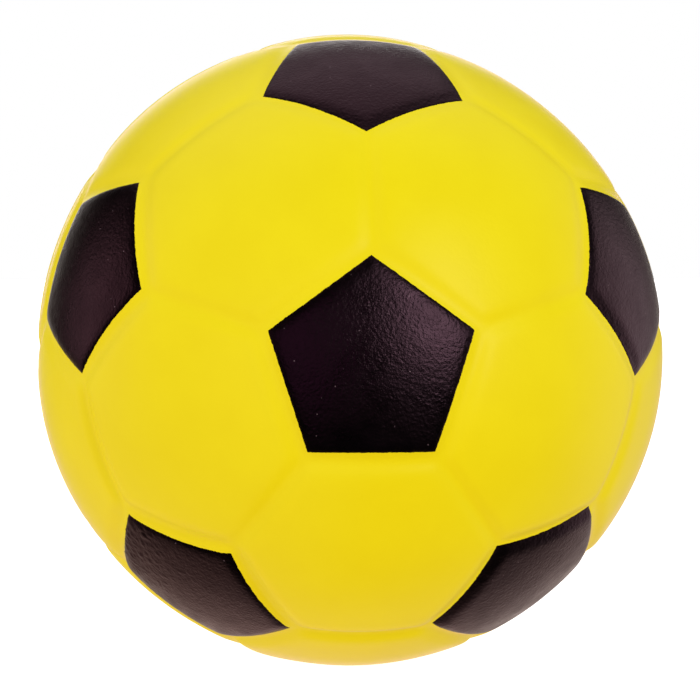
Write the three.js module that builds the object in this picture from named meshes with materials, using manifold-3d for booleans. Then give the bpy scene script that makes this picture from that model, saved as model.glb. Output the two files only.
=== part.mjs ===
// Foam stress ball, moulded and sprayed as a small football. Millimetres.
//
// The origin is the ball's centre. -Y looks out of the front pentagon's middle, +Z is up and
// +X is to the right of somebody who faces the front pentagon. The mould parts on the plane
// y = 0, so each mould half holds six of the twelve black pentagons whole.
//
// A core of soft polyurethane foam fills two half skins. The skins carry the moulded seams
// between the panels, and each black pentagon is a film of paint on its panel.

import * as THREE from 'three';
import { mergeVertices } from 'three/addons/utils/BufferGeometryUtils.js';
import Module from 'manifold-3d';

const wasm = await Module();
wasm.setup();

// Driving dimensions
const BALL_RADIUS = 31.5;      // to the middle of every panel
const SEAM_WIDTH = 2.8;        // moulded valley between two panels, shoulder to shoulder
const SEAM_DEPTH = 0.35;       // of that valley below its shoulders
const PANEL_CROWN = 0.15;      // how far a panel's middle stands above its edge
const SKIN_THICKNESS = 1;      // under the bottom of a seam
const CORE_CLEARANCE = 0.3;    // between the core and the skins
const PARTING_GAP = 0.1;       // between the two half skins
const FLASH_WIDTH = 0.6;       // trimmed flash on the parting line, both halves together
const FLASH_HEIGHT = 0.15;     // of that flash above the panels
const PAINT_MARGIN = 0.75;     // bare skin from a seam's middle to the edge of the black
const PAINT_THICKNESS = 0.1;
const PAINT_CLEARANCE = 0.05;  // between the paint and its skin

// How finely the curved surfaces are divided
const STEPS_PER_SIDE = 5;      // along one side of a panel; odd, so that no corner lies on the parting plane
const MIDDLE_RING = 0.5;       // share of the way from a seam to the panel's middle
const ROUND_STEPS = 40;        // round the core and the cavity that holds it
const POLE_STEPS = 21;         // from pole to pole, odd for the same reason
const MERGE_DISTANCE = 1e-4;   // points closer than this are one

// Worked out from them
const CAVITY_RADIUS = BALL_RADIUS - PANEL_CROWN - SEAM_DEPTH - SKIN_THICKNESS;
const BLOCK_SIZE = 4 * BALL_RADIUS;  // of the blocks that cut the ball, wider than the ball
const SEAM_HALF_WIDTH = SEAM_WIDTH / 2;

// The twelve pentagon axes are the corners of an icosahedron: one in front, a ring of five
// round it, a second ring turned by half a step, and one at the back.
const FIFTH_TURN = 2 * Math.PI / 5;
const RING_ANGLE = Math.atan(2);  // between neighbouring axes
const ANGLE_TOLERANCE = 0.01;

function axisAt(angleFromFront, turn) {
  return new THREE.Vector3(
    Math.sin(angleFromFront) * Math.sin(turn),
    -Math.cos(angleFromFront),
    Math.sin(angleFromFront) * Math.cos(turn),
  );
}

const pentagons = [
  { name: 'front_pentagon', axis: axisAt(0, 0) },
  { name: 'back_pentagon', axis: axisAt(Math.PI, 0) },
];
const FRONT_RING = ['top', 'upper_right', 'lower_right', 'lower_left', 'upper_left'];
const BACK_RING = ['upper_right', 'lower_right', 'bottom', 'lower_left', 'upper_left'];
FRONT_RING.forEach((place, step) => {
  pentagons.push({ name: `front_${place}_pentagon`, axis: axisAt(RING_ANGLE, step * FIFTH_TURN) });
});
BACK_RING.forEach((place, step) => {
  const turn = (step + 0.5) * FIFTH_TURN;
  pentagons.push({ name: `back_${place}_pentagon`, axis: axisAt(Math.PI - RING_ANGLE, turn) });
});

// Two pentagons are neighbours when their axes are one icosahedron edge apart.
function areNeighbours(first, second) {
  return Math.abs(first.axis.angleTo(second.axis) - RING_ANGLE) < ANGLE_TOLERANCE;
}

// A seam corner lies a third of the way from one pentagon axis to a neighbour's.
function seamCorner(near, far) {
  return near.axis.clone().multiplyScalar(2).add(far.axis).normalize();
}

// Corners in order round the outside of the ball, anticlockwise as seen from outside.
function inOrder(corners, middle) {
  const start = corners[0].clone().cross(middle).normalize();
  const across = start.clone().cross(middle);
  const turnOf = (corner) => Math.atan2(corner.dot(start), corner.dot(across));
  return [...corners].sort((one, other) => turnOf(one) - turnOf(other));
}

function makePanel(corners, middle) {
  const ordered = inOrder(corners, middle);
  const sideMiddle = ordered[0].clone().add(ordered[1]).normalize();
  return { corners: ordered, middle, reach: sideMiddle.angleTo(middle) * BALL_RADIUS };
}

function pentagonPanel(pentagon) {
  const neighbours = pentagons.filter((other) => areNeighbours(pentagon, other));
  return makePanel(neighbours.map((other) => seamCorner(pentagon, other)), pentagon.axis);
}

// A hexagon lies between three pentagons that are all neighbours.
function hexagonPanel(trio) {
  const corners = [];
  const middle = new THREE.Vector3();
  for (const near of trio) {
    middle.add(near.axis);
    trio.filter((far) => far !== near).forEach((far) => corners.push(seamCorner(near, far)));
  }
  return makePanel(corners, middle.normalize());
}

function hexagonTrios() {
  const trios = [];
  pentagons.forEach((first, i) => pentagons.slice(i + 1).forEach((second, j) => {
    pentagons.slice(i + j + 2).forEach((third) => {
      if (areNeighbours(first, second) && areNeighbours(second, third) && areNeighbours(first, third)) {
        trios.push([first, second, third]);
      }
    });
  }));
  return trios;
}

for (const pentagon of pentagons) {
  pentagon.panel = pentagonPanel(pentagon);
}
const panels = [...pentagons.map((pentagon) => pentagon.panel), ...hexagonTrios().map(hexagonPanel)];

// Distances from the seam, in millimetres over the surface, at which a panel has a ring of points.
// The black's edge lies about halfway up the seam's slope.
function ringInsets(panel) {
  const insets = [0, PAINT_MARGIN, SEAM_HALF_WIDTH, panel.reach * MIDDLE_RING];
  return insets.sort((one, other) => one - other);
}

// The skin's outside: a rounded valley along each seam and a crowned panel between them.
function skinRadius(panel, inset) {
  const downSlope = Math.min(inset / SEAM_HALF_WIDTH, 1);
  const valley = SEAM_DEPTH * (1 + Math.cos(Math.PI * downSlope)) / 2;
  const crown = PANEL_CROWN * (1 - inset / panel.reach) ** 2;
  return BALL_RADIUS - valley - crown;
}

// One ring of points, a given distance in from the seam and raised above the skin.
function ringPoints(panel, inset, raise) {
  const radius = skinRadius(panel, inset) + raise;
  const points = [];
  panel.corners.forEach((corner, side) => {
    const next = panel.corners[(side + 1) % panel.corners.length];
    for (let step = 0; step < STEPS_PER_SIDE; step += 1) {
      const onSeam = corner.clone().lerp(next, step / STEPS_PER_SIDE).normalize();
      const inwards = onSeam.lerp(panel.middle, inset / panel.reach);
      points.push(inwards.normalize().multiplyScalar(radius));
    }
  });
  return points;
}

function middlePoint(panel, raise) {
  return panel.middle.clone().multiplyScalar(skinRadius(panel, panel.reach) + raise);
}

// Surfaces are lists of points, three for each triangle. A band joins two rings, and faces
// away from the ball when the first ring is the wider one.
function bandBetween(wide, narrow) {
  return wide.flatMap((point, i) => {
    const next = (i + 1) % wide.length;
    return [point, wide[next], narrow[next], point, narrow[next], narrow[i]];
  });
}

function fanTo(middle, ring) {
  return ring.flatMap((point, i) => [point, ring[(i + 1) % ring.length], middle]);
}

// The panel's surface inside its first ring, raised above the skin and facing out.
function panelFace(panel, insets, raise) {
  const rings = insets.map((inset) => ringPoints(panel, inset, raise));
  const bands = rings.slice(1).flatMap((inner, i) => bandBetween(rings[i], inner));
  return [...bands, ...fanTo(middlePoint(panel, raise), rings[rings.length - 1])];
}

function toGeometry(points) {
  const merged = mergeVertices(new THREE.BufferGeometry().setFromPoints(points), MERGE_DISTANCE);
  merged.computeVertexNormals();
  return merged;
}

function toSolid(source) {
  const bare = source.clone();
  bare.deleteAttribute('normal');
  bare.deleteAttribute('uv');
  const merged = mergeVertices(bare, MERGE_DISTANCE);
  return new wasm.Manifold(new wasm.Mesh({
    numProp: 3,
    vertProperties: new Float32Array(merged.attributes.position.array),
    triVerts: new Uint32Array(merged.index.array),
  }));
}

function fromSolid(solid) {
  const mesh = solid.getMesh();
  const geometry = new THREE.BufferGeometry();
  geometry.setAttribute('position', new THREE.Float32BufferAttribute(mesh.vertProperties, 3));
  geometry.setIndex(new THREE.Uint32BufferAttribute(mesh.triVerts, 1));
  geometry.computeVertexNormals();
  return geometry;
}

// The whole panelled outside, with its surface raised by a given height.
function ballSolid(raise) {
  return toSolid(toGeometry(panels.flatMap((panel) => panelFace(panel, ringInsets(panel), raise))));
}

function boxSolid(depth, middleY) {
  return toSolid(new THREE.BoxGeometry(BLOCK_SIZE, depth, BLOCK_SIZE).translate(0, middleY, 0));
}

function sphereGeometry(radius) {
  return new THREE.SphereGeometry(radius, ROUND_STEPS, POLE_STEPS);
}

// Both skins in one: the panelled outside and the flash, hollowed for the core. The flash
// follows the seams, because it forms in the gap between the two mould halves.
function wholeSkin() {
  const flash = ballSolid(FLASH_HEIGHT).intersect(boxSolid(FLASH_WIDTH, 0));
  return ballSolid(0).add(flash).subtract(toSolid(sphereGeometry(CAVITY_RADIUS)));
}

// One mould half's skin. side is -1 for the front and 1 for the back.
function halfSkinGeometry(skin, side) {
  const middleY = side * (BLOCK_SIZE + PARTING_GAP) / 2;
  return fromSolid(skin.intersect(boxSolid(BLOCK_SIZE, middleY)));
}

function coreGeometry() {
  return sphereGeometry(CAVITY_RADIUS - CORE_CLEARANCE);
}

// A black pentagon: a thin film on its panel that stops short of the seam.
function paintGeometry(panel) {
  const insets = ringInsets(panel).filter((inset) => inset >= PAINT_MARGIN);
  const low = PAINT_CLEARANCE;
  const high = PAINT_CLEARANCE + PAINT_THICKNESS;
  const top = panelFace(panel, insets, high);
  const underside = panelFace(panel, insets, low).reverse();
  const edge = bandBetween(ringPoints(panel, PAINT_MARGIN, low), ringPoints(panel, PAINT_MARGIN, high));
  return toGeometry([...top, ...underside, ...edge]);
}

const foam = new THREE.MeshStandardMaterial({ color: '#efe3b0', roughness: 0.95, metalness: 0 });
const yellowSkin = new THREE.MeshStandardMaterial({ color: '#ead51c', roughness: 0.5, metalness: 0 });
const blackPaint = new THREE.MeshStandardMaterial({ color: '#1c1418', roughness: 0.42, metalness: 0 });

function piece(name, geometry, material) {
  const mesh = new THREE.Mesh(geometry, material);
  mesh.name = name;
  return mesh;
}

const group = new THREE.Group();
const skin = wholeSkin();
group.add(piece('foam_core', coreGeometry(), foam));
group.add(piece('front_skin', halfSkinGeometry(skin, -1), yellowSkin));
group.add(piece('back_skin', halfSkinGeometry(skin, 1), yellowSkin));
pentagons.forEach(({ name, panel }) => group.add(piece(name, paintGeometry(panel), blackPaint)));

export default group;
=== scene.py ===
"""Foam stress ball, moulded and sprayed as a small football.

The origin is the ball's centre. -Y looks out of the front pentagon's middle and +Z is up.
Sizes are in millimetres, and make_piece turns them to metres.
"""

import math

import bmesh
import bpy
import numpy as np
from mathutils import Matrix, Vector


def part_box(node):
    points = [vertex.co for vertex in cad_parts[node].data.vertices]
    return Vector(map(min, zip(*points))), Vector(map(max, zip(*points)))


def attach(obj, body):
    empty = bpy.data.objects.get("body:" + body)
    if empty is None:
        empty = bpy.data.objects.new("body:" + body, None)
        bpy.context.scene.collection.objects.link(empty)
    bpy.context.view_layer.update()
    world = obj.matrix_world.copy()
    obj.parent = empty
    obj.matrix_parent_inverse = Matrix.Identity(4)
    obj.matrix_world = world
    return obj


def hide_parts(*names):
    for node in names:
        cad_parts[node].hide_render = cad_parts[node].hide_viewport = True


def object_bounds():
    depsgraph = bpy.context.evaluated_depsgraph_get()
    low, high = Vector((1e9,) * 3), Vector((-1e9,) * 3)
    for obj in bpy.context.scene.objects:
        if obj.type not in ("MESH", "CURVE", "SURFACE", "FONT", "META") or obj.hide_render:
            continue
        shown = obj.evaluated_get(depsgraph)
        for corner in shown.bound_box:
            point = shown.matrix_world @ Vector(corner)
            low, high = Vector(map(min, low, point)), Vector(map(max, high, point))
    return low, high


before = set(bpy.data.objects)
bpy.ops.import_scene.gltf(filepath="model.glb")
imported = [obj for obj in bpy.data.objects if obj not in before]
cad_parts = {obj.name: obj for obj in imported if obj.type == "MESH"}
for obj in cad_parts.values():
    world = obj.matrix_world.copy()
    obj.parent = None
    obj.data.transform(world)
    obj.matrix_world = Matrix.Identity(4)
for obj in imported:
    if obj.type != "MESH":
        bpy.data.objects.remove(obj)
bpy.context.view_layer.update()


# Foam core
# The ball that is squeezed: flexible polyurethane foam, moulded in one shot inside the skin.
# Where it meets the skin it is a mat of small burst cells, with nothing fastening it.

MM = 0.001
FULL_TURN = 2 * math.pi
RING_ANGLE = math.atan(2)      # between the axes of two neighbouring pentagons
SHARP_ANGLE = 50               # an edge that turns by more degrees than this is drawn sharp
FRONT_RING = ["top", "upper_right", "lower_right", "lower_left", "upper_left"]
BACK_RING = ["upper_right", "lower_right", "bottom", "lower_left", "upper_left"]


def axis_at(angle_from_front, turn):
    """Direction at an angle from -Y, turned clockwise from +Z as seen from the front."""
    return np.array([
        math.sin(angle_from_front) * math.sin(turn),
        -math.cos(angle_from_front),
        math.sin(angle_from_front) * math.cos(turn),
    ])


def as_directions(vectors):
    """The same vectors, each one long."""
    return vectors / np.linalg.norm(vectors, axis=-1, keepdims=True)


# The ball is divided as a football is: the middles of its twelve pentagons are the corners
# of an icosahedron, and each of that icosahedron's twenty faces is the middle of a hexagon.
pentagon_axes = {
    "front_pentagon": axis_at(0, 0),
    "back_pentagon": axis_at(math.pi, 0),
}
for step, place in enumerate(FRONT_RING):
    pentagon_axes[f"front_{place}_pentagon"] = axis_at(RING_ANGLE, step * FULL_TURN / 5)
for step, place in enumerate(BACK_RING):
    turn = (step + 0.5) * FULL_TURN / 5
    pentagon_axes[f"back_{place}_pentagon"] = axis_at(math.pi - RING_ANGLE, turn)
axes = np.array(list(pentagon_axes.values()))


def are_neighbours(first, second):
    """Whether two pentagon axes are one icosahedron edge apart."""
    return 0.4 < first @ second < 0.5


trios = []
for i, first in enumerate(axes):
    for j, second in enumerate(axes[:i]):
        for third in axes[:j]:
            pairs = [(first, second), (second, third), (first, third)]
            if all(are_neighbours(one, other) for one, other in pairs):
                trios.append(np.array([first, second, third]))


def triangle_grid(steps):
    """A triangle divided evenly: points as shares of its corners, and the small triangles."""
    number = {}
    shares = []
    for i in range(steps + 1):
        for j in range(steps + 1 - i):
            number[i, j] = len(shares)
            shares.append([(steps - i - j) / steps, i / steps, j / steps])
    faces = []
    for i, j in number:
        if i + j < steps:
            faces.append([number[i, j], number[i + 1, j], number[i, j + 1]])
        if i + j < steps - 1:
            faces.append([number[i + 1, j], number[i + 1, j + 1], number[i, j + 1]])
    return np.array(shares), np.array(faces)


def join_patches(patches, faces):
    """One mesh from patches of the same layout that share edges: its points and its faces."""
    points = np.concatenate(patches)
    starts = np.arange(len(patches)) * len(patches[0])
    faces = np.concatenate([faces + start for start in starts])
    rounded = np.round(points, 6) + 0.0
    _, first, number = np.unique(rounded, axis=0, return_index=True, return_inverse=True)
    return points[first], number.reshape(-1)[faces]


def even_ball(steps):
    """Directions spread evenly over a ball, and the triangles between them."""
    shares, faces = triangle_grid(steps)
    return join_patches([as_directions(shares @ trio) for trio in trios], faces)


def waves(directions, radius, length, seed):
    """A smooth random relief of about plus or minus one, of one wavelength, over a ball."""
    chance = np.random.default_rng(seed)
    across = as_directions(chance.normal(size=(16, 3)))
    phases = chance.uniform(0, FULL_TURN, 16)
    return np.sin(directions @ across.T * radius * FULL_TURN / length + phases).sum(axis=1) / 4


def linear(code):
    """An sRGB hex colour as linear red, green, blue and alpha."""
    shares = [int(code[i:i + 2], 16) / 255 for i in (1, 3, 5)]
    return [s / 12.92 if s <= 0.04045 else ((s + 0.055) / 1.055) ** 2.4 for s in shares] + [1]


def per_metre(size):
    """A pattern's scale, from the size of one repeat in millimetres."""
    return 1 / (size * MM)


def new_material(name):
    """A material with an empty node tree."""
    material = bpy.data.materials.new(name)
    material.use_nodes = True
    material.node_tree.nodes.clear()
    return material


def add_node(tree, kind, settings, sockets):
    """Adds a node with its own settings, and a value or a link for each socket that is named."""
    node = tree.nodes.new(kind)
    for name, value in settings.items():
        setattr(node, name, value)
    for name, value in sockets.items():
        if isinstance(value, bpy.types.NodeSocket):
            tree.links.new(value, node.inputs[name])
        else:
            node.inputs[name].default_value = value
    return node


def make_piece(name, points, faces, material):
    """A closed, smooth-shaded mesh object from points in millimetres."""
    mesh = bpy.data.meshes.new(name)
    mesh.from_pydata((points * MM).tolist(), [], faces)
    shell = bmesh.new()
    shell.from_mesh(mesh)
    bmesh.ops.recalc_face_normals(shell, faces=shell.faces)
    shell.to_mesh(mesh)
    shell.free()
    mesh.shade_smooth()
    mesh.set_sharp_from_angle(angle=math.radians(SHARP_ANGLE))
    mesh.materials.append(material)
    piece = bpy.data.objects.new(name, mesh)
    bpy.context.scene.collection.objects.link(piece)
    return piece


# Open-cell polyurethane foam: matt cream, and pitted all over by the cells that burst as it rose; the pits
# carry painted shade.
# Real cells are about 0.5 mm. These are drawn at 0.9 mm, so that they show.
CELL_SIZE = 0.9
CELL_DEPTH = 0.12
CORE_STEPS = 56         # mesh rows between the middles of two neighbouring pentagons
PIT_SPACING = 2.2       # of the shallow pits that the mesh itself has
foam = new_material("open_cell_polyurethane_foam")
place = add_node(foam.node_tree, "ShaderNodeTexCoord", {}, {})
cells = add_node(foam.node_tree, "ShaderNodeTexVoronoi", {"feature": "F1"}, {
    "Vector": place.outputs["Object"],
    "Scale": per_metre(CELL_SIZE),
})
walls = add_node(foam.node_tree, "ShaderNodeMapRange", {"interpolation_type": "SMOOTHSTEP"}, {
    "Value": cells.outputs["Distance"],
    "From Min": 0.15,
    "From Max": 0.75,
})
# Painted shade: the cream is painted darker towards each pit's middle, following the same mask as the
# pits' bump.
foam_colour_with_painted_pit_shade = add_node(foam.node_tree, "ShaderNodeMix", {"data_type": "RGBA"}, {
    0: walls.outputs["Result"],
    6: linear("#C9B67C"),
    7: linear("#F1E6B8"),
})
foam_bump = add_node(foam.node_tree, "ShaderNodeBump", {}, {
    "Height": walls.outputs["Result"],
    "Distance": CELL_DEPTH * MM,
    "Strength": 1,
})
foam_surface = add_node(foam.node_tree, "ShaderNodeBsdfPrincipled", {}, {
    "Base Color": foam_colour_with_painted_pit_shade.outputs[2],
    "Roughness": 0.95,
    "IOR": 1.5,
    "Normal": foam_bump.outputs["Normal"],
})
add_node(foam.node_tree, "ShaderNodeOutputMaterial", {}, {"Surface": foam_surface.outputs["BSDF"]})

core_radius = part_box("foam_core")[1].z / MM
core_directions, core_faces = even_ball(CORE_STEPS)
pits = np.abs(waves(core_directions, core_radius, PIT_SPACING, 11)) * CELL_DEPTH
core_points = core_directions * (core_radius - pits)[:, None]
core = make_piece("open_cell_foam_ball", core_points, core_faces.tolist(), foam)
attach(core, "root")
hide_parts("foam_core")


# Front and back skins
# The dense polyurethane coat that each mould half gives the foam, yellow right through.
# It carries the moulded valleys between the panels, and meets its other half at a trimmed flash.

BALL_RADIUS = 31.5     # to the middle of a panel
TALLER = 1.0035        # the ball is a little taller than wide
SEAM_DEPTH = 0.34
DEEPER_BELOW = 0.55    # the share by which the mould cut deeper at the bottom, and less at the top
SEAM_SPREAD = 0.95     # from the bottom of a valley to a third of its depth
PANEL_CROWN = 0.14     # of a panel's middle above its edge
VALLEY_SOFTNESS = 0.25 # rounds off the corner where valleys meet
CROWN_SOFTNESS = 1.6   # and the corners of a panel's crown
CORE_CLEARANCE = 0.3
PARTING_GAP = 0.02     # between the two halves, where the real ones are fused
FLASH_WIDTH = 0.5
FLASH_HEIGHT = 0.14
LUMP_HEIGHT = 0.02
LUMP_SIZE = 14
SKIN_STEPS = 112       # mesh rows between the middles of two neighbouring pentagons
CAVITY_RINGS = 11      # mesh rings from the parting line to the bottom of the hollow

# Where the ball is out of round: the direction of a flat or a bulge, half its width in degrees,
# and its height.
out_of_round = [
    ((0.62, -0.05, 0.78), 24, -0.38),
    ((-0.95, -0.05, 0.3), 17, -0.2),
    ((-0.3, -0.05, -0.95), 7, 0.22),
    ((0.42, -0.05, -0.9), 10, 0.12),
]

hexagon_axes = as_directions(np.array([trio.sum(axis=0) for trio in trios]))
seam_corner = as_directions(2 * trios[0][0] + trios[0][1])
pentagon_depth = seam_corner @ trios[0][0]
hexagon_depth = seam_corner @ hexagon_axes[0]
panel_normals = np.concatenate([axes / pentagon_depth, hexagon_axes / hexagon_depth])
between_panels = np.linalg.norm(panel_normals[:, None] - panel_normals[None], axis=2)
seam_middle = as_directions(seam_corner + as_directions(2 * trios[0][0] + trios[0][2]))
pentagon_reach = math.acos(seam_middle @ trios[0][0]) * BALL_RADIUS
hexagon_reach = math.acos(seam_middle @ hexagon_axes[0]) * BALL_RADIUS
panel_reaches = np.array([pentagon_reach] * len(axes) + [hexagon_reach] * len(hexagon_axes))


def soft_least(distances, softness):
    """The least of each row, rounded off where two are nearly alike."""
    return -softness * np.log(np.exp(-distances / softness).sum(axis=1))


def skin_radius(directions):
    """How far out the moulded skin is: crowned panels with rounded valleys between them."""
    outwardness = directions @ panel_normals.T
    panel = outwardness.argmax(axis=1)
    rows = np.arange(len(directions))
    lead = outwardness[rows, panel][:, None] - outwardness
    apart = between_panels[panel]
    apart[rows, panel] = 1
    distances = BALL_RADIUS * np.arcsin(np.clip(lead / apart, -1, 1))
    distances[rows, panel] = np.inf
    near_seam = soft_least(distances, VALLEY_SOFTNESS)
    depth = SEAM_DEPTH * (1 - DEEPER_BELOW * directions[:, 2])
    valley = depth * np.exp(-(near_seam / SEAM_SPREAD) ** 2)
    from_edge = np.hypot(soft_least(distances, CROWN_SOFTNESS), SEAM_SPREAD) - SEAM_SPREAD
    crown = PANEL_CROWN * (1 - np.clip(from_edge / panel_reaches[panel], 0, 1)) ** 2
    lumps = LUMP_HEIGHT * waves(directions, BALL_RADIUS, LUMP_SIZE, 5)
    height = BALL_RADIUS + (TALLER - 1) * (2 * directions[:, 2] ** 2 - 1) * BALL_RADIUS
    for toward_it, half_width, rise in out_of_round:
        nearness = directions @ as_directions(np.array(toward_it))
        height = height + rise * np.exp((nearness - 1) / (1 - math.cos(math.radians(half_width))))
    return height - valley - crown + lumps


def join_rings(rings, tip):
    """Faces between rings of point numbers, and a fan from the last ring to one more point."""
    faces = []
    for wide, narrow in zip(rings, rings[1:]):
        faces += [[wide[i - 1], wide[i], narrow[i], narrow[i - 1]] for i in range(len(wide))]
    last = rings[-1]
    return faces + [[last[i - 1], last[i], tip] for i in range(len(last))]


# The mesh has a row of points round the parting plane. The rows beside it are drawn in, so
# that the flash, which is a ridge on the middle row, is as narrow as a trimmed one.
DRAWN_IN = 0.6
TRIM_LENGTH = 16       # the trimmed flash changes in height over about this length
ball_directions, ball_faces = even_ball(SKIN_STEPS)
from_plane = ball_directions[:, 1] * BALL_RADIUS
drawn_in = 1 - DRAWN_IN * np.exp(-(from_plane / FLASH_WIDTH) ** 2)
full = np.ones_like(drawn_in)
ball_directions = as_directions(ball_directions * np.stack([full, drawn_in, full], axis=1))
on_plane = np.abs(ball_directions[:, 1]) < 1e-6
trim = np.clip(0.6 + 0.3 * waves(ball_directions, BALL_RADIUS, TRIM_LENGTH, 3), 0.2, 1)
ball_radii = skin_radius(ball_directions) + on_plane * trim * FLASH_HEIGHT
skin_points = ball_directions * ball_radii[:, None]
cavity_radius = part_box("foam_core")[1].z / MM + CORE_CLEARANCE


def half_skin(side):
    """One mould half's skin as a closed shell. side is -1 for the front and 1 for the back."""
    outside = ball_faces[skin_points[ball_faces][:, :, 1].mean(axis=1) * side > 0]
    used, faces = np.unique(outside, return_inverse=True)
    points = skin_points[used]
    rim = np.flatnonzero(np.abs(points[:, 1]) < 1e-4)
    rim = rim[np.argsort(np.arctan2(points[rim, 2], points[rim, 0]))]
    points[rim, 1] = side * PARTING_GAP / 2
    rings = [rim]
    rim_directions = as_directions(points[rim] * [1, 0, 1])
    layers = [points]
    count = len(points)
    for share in np.linspace(0, 1, CAVITY_RINGS + 1)[:-1]:
        lean = share * math.pi / 2
        layer = cavity_radius * (rim_directions * math.cos(lean) + [0, side * math.sin(lean), 0])
        layer[:, 1] += side * PARTING_GAP / 2
        layers.append(layer)
        rings.append(count + np.arange(len(rim)))
        count += len(rim)
    layers.append(np.array([[0, side * cavity_radius, 0]]))
    closing = join_rings([ring.tolist() for ring in rings], count)
    return np.concatenate(layers), faces.reshape(outside.shape).tolist() + closing


# Integral-skin polyurethane, in-mould coated: a satin yellow, evenly coloured, that keeps the
# mould's fine blasted grain and dulls a little in patches where the release agent lay.
PATCH_SIZE = 7
GRAIN_SIZE = 0.45
GRAIN_DEPTH = 0.02
yellow = new_material("in_mould_coated_yellow_polyurethane")
place = add_node(yellow.node_tree, "ShaderNodeTexCoord", {}, {})
patches = add_node(yellow.node_tree, "ShaderNodeTexNoise", {}, {
    "Vector": place.outputs["Object"],
    "Scale": per_metre(PATCH_SIZE),
    "Detail": 3,
    "Roughness": 0.55,
})
grain = add_node(yellow.node_tree, "ShaderNodeTexNoise", {}, {
    "Vector": place.outputs["Object"],
    "Scale": per_metre(GRAIN_SIZE),
    "Detail": 2,
    "Roughness": 0.6,
})
patchiness = add_node(yellow.node_tree, "ShaderNodeMapRange", {}, {
    "Value": patches.outputs["Fac"],
    "From Min": 0.35,
    "From Max": 0.65,
})
skin_colour = add_node(yellow.node_tree, "ShaderNodeMix", {"data_type": "RGBA"}, {
    0: patchiness.outputs["Result"],
    6: linear("#F1E500"),
    7: linear("#F3E800"),
})
skin_roughness = add_node(yellow.node_tree, "ShaderNodeMapRange", {}, {
    "Value": patches.outputs["Fac"],
    "From Min": 0.3,
    "From Max": 0.7,
    "To Min": 0.37,
    "To Max": 0.43,
})
skin_bump = add_node(yellow.node_tree, "ShaderNodeBump", {}, {
    "Height": grain.outputs["Fac"],
    "Distance": GRAIN_DEPTH * MM,
    "Strength": 0.6,
})
skin_surface = add_node(yellow.node_tree, "ShaderNodeBsdfPrincipled", {}, {
    "Base Color": skin_colour.outputs[2],
    "Roughness": skin_roughness.outputs["Result"],
    "IOR": 1.5,
    "Specular IOR Level": 0.2,
    "Sheen Weight": 1,
    "Sheen Roughness": 0.15,
    "Sheen Tint": linear("#FFE0CA"),
    "Normal": skin_bump.outputs["Normal"],
})
add_node(yellow.node_tree, "ShaderNodeOutputMaterial", {}, {"Surface": skin_surface.outputs["BSDF"]})

for half, side in [("front", -1), ("back", 1)]:
    points, faces = half_skin(side)
    skin = make_piece(f"moulded_{half}_skin", points, faces, yellow)
    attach(skin, "root")
    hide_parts(f"{half}_skin")


# Black pentagons
# Each is a film of elastic black paint, sprayed on its panel through a cut stencil that stops
# short of the seam. The film has a fine orange peel, and pulls into creases where it lay wet.

PAINT_MARGIN = 0.8      # bare skin from a seam's middle to the edge of the black
FILM_THICKNESS = 0.05
FILM_KEYED_IN = 0.02    # of the film's underside into the skin
CORNER_FLARE = 0.08     # the stencil's sides bow in where it is pressed round the ball
LEATHERY_SPOT = (-0.7, -0.42, -0.57)  # the direction of a place where the paint dried in creases
LEATHERY_HALF_WIDTH = 11              # of that place, in degrees
LEATHERY_HEIGHT = 0.05
CREASE_HEIGHT = 0.003   # of the slight creases everywhere else
EDGE_FEATHER = 0.12     # the film thins out over this much at its edge
EDGE_RAGGEDNESS = 0.025
RAGGED_REACH = 0.25     # how far in from the edge its raggedness goes
FILM_STEPS = 76         # mesh rows from a pentagon's middle to its edge
PEEL_SIZE = 0.3
PEEL_DEPTH = 0.055
SHEEN_PATCH_SIZE = 2.5
DUST_SIZE = 0.08        # from a speck's middle to its edge
DUST_SPACING = 1.3

# Sprayed elastic polyurethane: near-black with a faint wine tint in its gloss, uneven in sheen,
# and dusted with a few pale specks that settled while it was wet.
paint = new_material("sprayed_black_elastic_paint")
place = add_node(paint.node_tree, "ShaderNodeTexCoord", {}, {})
peel = add_node(paint.node_tree, "ShaderNodeTexNoise", {}, {
    "Vector": place.outputs["Object"],
    "Scale": per_metre(PEEL_SIZE),
    "Detail": 2,
    "Roughness": 0.6,
})
sheen_patches = add_node(paint.node_tree, "ShaderNodeTexNoise", {}, {
    "Vector": place.outputs["Object"],
    "Scale": per_metre(SHEEN_PATCH_SIZE),
    "Detail": 3,
    "Roughness": 0.6,
})
paint_roughness = add_node(paint.node_tree, "ShaderNodeMapRange", {}, {
    "Value": sheen_patches.outputs["Fac"],
    "From Min": 0.3,
    "From Max": 0.7,
    "To Min": 0.27,
    "To Max": 0.39,
})
paint_colour = add_node(paint.node_tree, "ShaderNodeMix", {"data_type": "RGBA"}, {
    0: sheen_patches.outputs["Fac"],
    6: linear("#010101"),
    7: linear("#020202"),
})
dust = add_node(paint.node_tree, "ShaderNodeTexVoronoi", {"feature": "F1"}, {
    "Vector": place.outputs["Object"],
    "Scale": per_metre(DUST_SPACING),
})
is_dust = add_node(paint.node_tree, "ShaderNodeMapRange", {}, {
    "Value": dust.outputs["Distance"],
    "From Min": DUST_SIZE / DUST_SPACING,
    "From Max": 0.6 * DUST_SIZE / DUST_SPACING,
})
dusty_colour = add_node(paint.node_tree, "ShaderNodeMix", {"data_type": "RGBA"}, {
    0: is_dust.outputs["Result"],
    6: paint_colour.outputs[2],
    7: linear("#5E5458"),
})
paint_bump = add_node(paint.node_tree, "ShaderNodeBump", {}, {
    "Height": peel.outputs["Fac"],
    "Distance": PEEL_DEPTH * MM,
    "Strength": 1,
})
paint_surface = add_node(paint.node_tree, "ShaderNodeBsdfPrincipled", {}, {
    "Base Color": dusty_colour.outputs[2],
    "Roughness": paint_roughness.outputs["Result"],
    "IOR": 1.5,
    "Specular Tint": linear("#FFC0DA"),
    "Normal": paint_bump.outputs["Normal"],
})
add_node(paint.node_tree, "ShaderNodeOutputMaterial", {}, {"Surface": paint_surface.outputs["BSDF"]})

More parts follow.
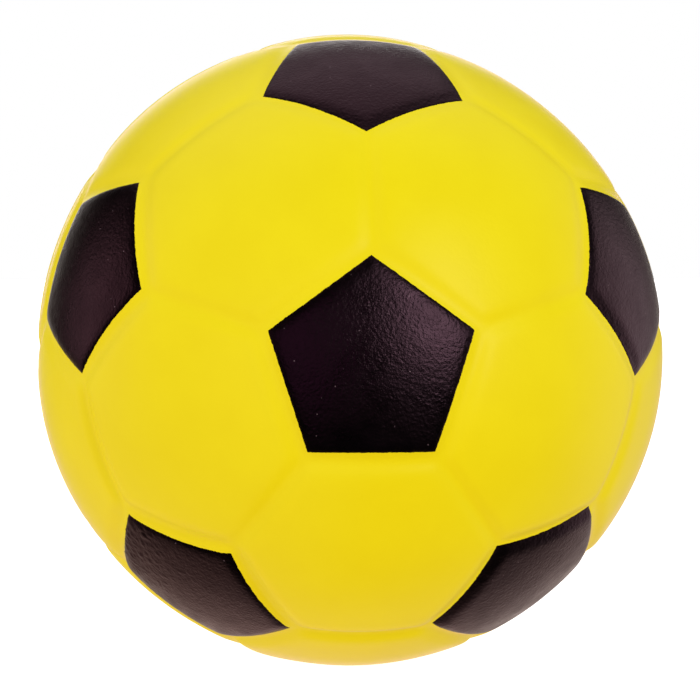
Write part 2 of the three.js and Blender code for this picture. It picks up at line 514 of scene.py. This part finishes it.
stencil_reach = math.tan((pentagon_reach - PAINT_MARGIN) / BALL_RADIUS)
stencil_radius = stencil_reach / math.cos(math.pi / 5)
sector_shares, sector_faces = triangle_grid(FILM_STEPS)


def stencil_corners(axis, slip_right, slip_up, twist):
    """The stencil's middle and corners, as steps from the axis's end on its tangent plane."""
    right = as_directions(np.cross([0, 0, 1], axis))
    up = np.cross(axis, right)
    slip = (right * slip_right + up * slip_up) / BALL_RADIUS
    first = next(other for other in axes if are_neighbours(axis, other))
    start = as_directions(first - axis * (first @ axis))
    aside = np.cross(axis, start)
    turns = math.radians(twist) + np.arange(6) * FULL_TURN / 5
    corners = np.cos(turns)[:, None] * start + np.sin(turns)[:, None] * aside
    return slip, slip + corners * stencil_radius


def paint_film(axis, slip_right, slip_up, twist, seed):
    """A closed film on one panel: its top, its feathered edge, and its underside on the skin."""
    middle, corners = stencil_corners(axis, slip_right, slip_up, twist)
    sectors = [sector_shares @ np.array([middle, corners[i], corners[i + 1]]) for i in range(5)]
    steps, faces = join_patches(sectors, sector_faces)
    sides = as_directions((corners[:5] + corners[1:]) / 2 - middle)
    toward_side = ((steps - middle) @ sides.T).max(axis=1)
    inset = (stencil_reach - toward_side) * BALL_RADIUS
    cornerness = np.linalg.norm(steps - middle, axis=1) / np.maximum(toward_side, 1e-9) - 1
    steps = middle + (steps - middle) * (1 + CORNER_FLARE * cornerness)[:, None]
    at = as_directions(axis + steps)
    ragged = 0.5 * waves(at, BALL_RADIUS, 0.8, seed) + waves(at, BALL_RADIUS, 0.23, seed + 1)
    moved = np.exp(-inset / RAGGED_REACH) * ragged * EDGE_RAGGEDNESS / BALL_RADIUS
    steps = steps + as_directions(steps - middle + 1e-9) * moved[:, None]
    at = as_directions(axis + steps)
    film = FILM_THICKNESS * (1 - 0.8 * np.exp(-inset / EDGE_FEATHER))
    nearness = at @ as_directions(np.array(LEATHERY_SPOT))
    leathery = np.exp((nearness - 1) / (1 - math.cos(math.radians(LEATHERY_HALF_WIDTH))))
    wide_creases = CREASE_HEIGHT * waves(at, BALL_RADIUS, 1.3, seed + 2)
    creases = wide_creases + CREASE_HEIGHT * waves(at, BALL_RADIUS, 0.6, seed + 3)
    creases += LEATHERY_HEIGHT * leathery * np.abs(waves(at, BALL_RADIUS, 0.9, seed + 4))
    top = at * (skin_radius(at) + film + creases)[:, None]
    outline = np.flatnonzero(inset < 1e-6)
    spokes = steps[outline] - middle
    aside = np.cross(axis, sides[0])
    order = np.argsort(np.arctan2(spokes @ aside, spokes @ sides[0]))
    rings = [outline[order].tolist()]
    layers = [top]
    count = len(top)
    for share in [1, 0.75, 0.5, 0.25]:
        under = as_directions(axis + middle + spokes[order] * share)
        layers.append(under * (skin_radius(under) - FILM_KEYED_IN)[:, None])
        rings.append(list(range(count, count + len(order))))
        count += len(order)
    under = as_directions(axis + middle)[None]
    layers.append(under * (skin_radius(under) - FILM_KEYED_IN)[:, None])
    return np.concatenate(layers), faces.tolist() + join_rings(rings, count)


# How far each stencil slipped on its panel: to the right and up as the panel is faced, and
# its turn in degrees, anticlockwise.
slips = {
    "front_pentagon": (-0.11, 0.16, 0),
    "front_top_pentagon": (0.18, -0.8, -1.3),
    "front_upper_right_pentagon": (-0.4, -0.62, -0.5),
    "front_lower_right_pentagon": (-0.67, 0.37, 1.4),
    "front_lower_left_pentagon": (-0.08, -0.3, -0.6),
    "front_upper_left_pentagon": (-0.25, -0.15, 0.9),
    "back_pentagon": (0.2, -0.15, 0.6),
    "back_upper_right_pentagon": (0.1, 0.3, -0.8),
    "back_lower_right_pentagon": (-0.25, 0.1, 0.4),
    "back_bottom_pentagon": (0.15, 0.25, 1),
    "back_lower_left_pentagon": (0.3, -0.2, -0.5),
    "back_upper_left_pentagon": (-0.1, -0.3, 0.9),
}
for seed, (name, slip) in enumerate(slips.items()):
    points, faces = paint_film(pentagon_axes[name], *slip, seed=20 + 10 * seed)
    film = make_piece(f"sprayed_{name}", points, faces, paint)
    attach(film, "root")
    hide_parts(name)


# Table and studio
# A white table under the ball, white surroundings, one softbox at the upper right, and broad
# even light from all round. Only the softbox and the surroundings show in the ball's gloss.

# Matt white laminate that glows: it takes no shadow from the ball, and sends it no light.
TABLE_SIZE = 3000
SPECKLE_SIZE = 1.5
SPECKLE_DEPTH = 0.01
table_white = new_material("matt_white_laminate")
place = add_node(table_white.node_tree, "ShaderNodeTexCoord", {}, {})
speckle = add_node(table_white.node_tree, "ShaderNodeTexNoise", {}, {
    "Vector": place.outputs["Object"],
    "Scale": per_metre(SPECKLE_SIZE),
    "Detail": 2,
})
table_bump = add_node(table_white.node_tree, "ShaderNodeBump", {}, {
    "Height": speckle.outputs["Fac"],
    "Distance": SPECKLE_DEPTH * MM,
    "Strength": 0.5,
})
table_surface = add_node(table_white.node_tree, "ShaderNodeBsdfPrincipled", {}, {
    "Base Color": linear("#D8D8D8"),
    "Roughness": 0.9,
    "Emission Color": linear("#FFFFFF"),
    "Emission Strength": 1,
    "Normal": table_bump.outputs["Normal"],
})
add_node(table_white.node_tree, "ShaderNodeOutputMaterial", {}, {"Surface": table_surface.outputs["BSDF"]})
half_table = TABLE_SIZE * MM / 2
table_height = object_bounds()[0].z
table_mesh = bpy.data.meshes.new("white_table")
table_corners = [(-1, -1), (1, -1), (1, 1), (-1, 1)]
table_points = [(x * half_table, y * half_table, table_height) for x, y in table_corners]
table_mesh.from_pydata(table_points, [], [(0, 1, 2, 3)])
table_mesh.materials.append(table_white)
table_top = bpy.data.objects.new("white_table", table_mesh)
bpy.context.scene.collection.objects.link(table_top)
table_top.visible_diffuse = False
table_top.visible_glossy = False
table_top.visible_shadow = False


def toward(azimuth, elevation):
    """Direction from the ball: azimuth from -Y, to the right as the front is faced, in degrees."""
    side, rise = math.radians(azimuth), math.radians(elevation)
    return Vector((math.sin(side) * math.cos(rise), -math.cos(side) * math.cos(rise), math.sin(rise)))


world = bpy.data.worlds.new("white_studio")
bpy.context.scene.world = world
world.use_nodes = True
world.node_tree.nodes.clear()
seen = add_node(world.node_tree, "ShaderNodeLightPath", {}, {})
way = add_node(world.node_tree, "ShaderNodeTexCoord", {}, {})

# The room as the gloss sees it, which the camera doesn't: dark round the camera, with walls,
# table and ceiling that catch light, and a bright spot on the backdrop. Each has its azimuth,
# elevation, half its width in degrees where it fades out and where it is full, its brightness
# and its colour.
room_patches = [
    (180, 70, 45, 15, 0.62, "#FFE0EA"),
    (112, 0, 38, 10, 0.8, "#FFDFE6"),
    (-106, 5, 28, 10, 0.66, "#FFC8D4"),
    (155, -45, 45, 15, 0.52, "#FFDCD2"),
    (-150, -45, 45, 15, 0.44, "#FFD0C0"),
    (180, 0, 32, 14, 0.7, "#FFF2E4"),
    (-30, 4, 30, 8, 0.6, "#C88CC0"),
    (152, -18, 24, 8, 0.3, "#FFF0E6"),
    (180, 8, 20, 5, 2.6, "#FFFFFF"),
]
room = linear("#0A0A0A")[:3]
for azimuth, elevation, faded, full, brightness, colour in room_patches:
    facing = add_node(world.node_tree, "ShaderNodeVectorMath", {"operation": "DOT_PRODUCT"}, {
        0: way.outputs["Generated"],
        1: toward(azimuth, elevation),
    })
    share = add_node(world.node_tree, "ShaderNodeMapRange", {"interpolation_type": "SMOOTHSTEP"}, {
        "Value": facing.outputs["Value"],
        "From Min": math.cos(math.radians(faded)),
        "From Max": math.cos(math.radians(full)),
        "To Max": brightness,
    })
    patch = add_node(world.node_tree, "ShaderNodeVectorMath", {"operation": "SCALE"}, {
        0: linear(colour)[:3],
        "Scale": share.outputs["Result"],
    })
    room = add_node(world.node_tree, "ShaderNodeVectorMath", {"operation": "ADD"}, {
        0: room,
        1: patch.outputs["Vector"],
    }).outputs["Vector"]
shown = add_node(world.node_tree, "ShaderNodeMix", {"data_type": "RGBA"}, {
    0: seen.outputs["Is Camera Ray"],
    6: room,
    7: linear("#FFFFFF"),
})
sky = add_node(world.node_tree, "ShaderNodeBackground", {}, {
    "Color": shown.outputs[2],
    "Strength": 1,
})
add_node(world.node_tree, "ShaderNodeOutputWorld", {}, {"Surface": sky.outputs["Background"]})


BROAD_ANGLE = 160


def add_broad_light(name, azimuth, elevation, strength, colour):
    """Broad even light from one side, which only the matt colours show."""
    light = bpy.data.lights.new(name, "SUN")
    light.energy = strength
    light.angle = math.radians(BROAD_ANGLE)
    light.color = linear(colour)[:3]
    lamp = bpy.data.objects.new(name, light)
    bpy.context.scene.collection.objects.link(lamp)
    lamp.rotation_euler = toward(azimuth, elevation).to_track_quat("Z", "Y").to_euler()
    lamp.visible_glossy = False


add_broad_light("top_light", 20, 60, 0.45, "#FFFFFF")
add_broad_light("left_light", -80, 0, 1.72, "#FFFFFF")
add_broad_light("right_light", 90, 0, 0.5, "#FFFFFF")
add_broad_light("back_light", 180, 5, 1.15, "#FFFFFF")
add_broad_light("light_off_the_table", 0, -60, 1.28, "#FFD0BA")

SOFTBOX_SIZE = (0.3, 0.5)      # in metres, as is its distance
SOFTBOX_DISTANCE = 0.7
SOFTBOX_POWER = 1.8
softbox_way = toward(31, 19)
softbox = bpy.data.lights.new("softbox", "AREA")
softbox.shape = "RECTANGLE"
softbox.size, softbox.size_y = SOFTBOX_SIZE
softbox.energy = SOFTBOX_POWER
softbox_lamp = bpy.data.objects.new("softbox", softbox)
bpy.context.scene.collection.objects.link(softbox_lamp)
softbox_lamp.location = softbox_way * SOFTBOX_DISTANCE
softbox_lamp.rotation_euler = softbox_way.to_track_quat("Z", "Y").to_euler()

# The camera stands a little left of the front pentagon's axis and a little above it.
CAMERA_DISTANCE = 313.6
CAMERA_LENS = 160.4
camera_way = toward(-3.98, 2.76)
camera = bpy.data.cameras.new("camera")
camera.lens = CAMERA_LENS
camera.sensor_width = 36
camera.clip_start = 0.01
camera.clip_end = 20
camera_stand = bpy.data.objects.new("camera", camera)
bpy.context.scene.collection.objects.link(camera_stand)
camera_stand.location = camera_way * CAMERA_DISTANCE * MM
camera_stand.rotation_euler = camera_way.to_track_quat("Z", "Y").to_euler()
bpy.context.scene.camera = camera_stand
bpy.context.scene.view_settings.view_transform = "Standard"
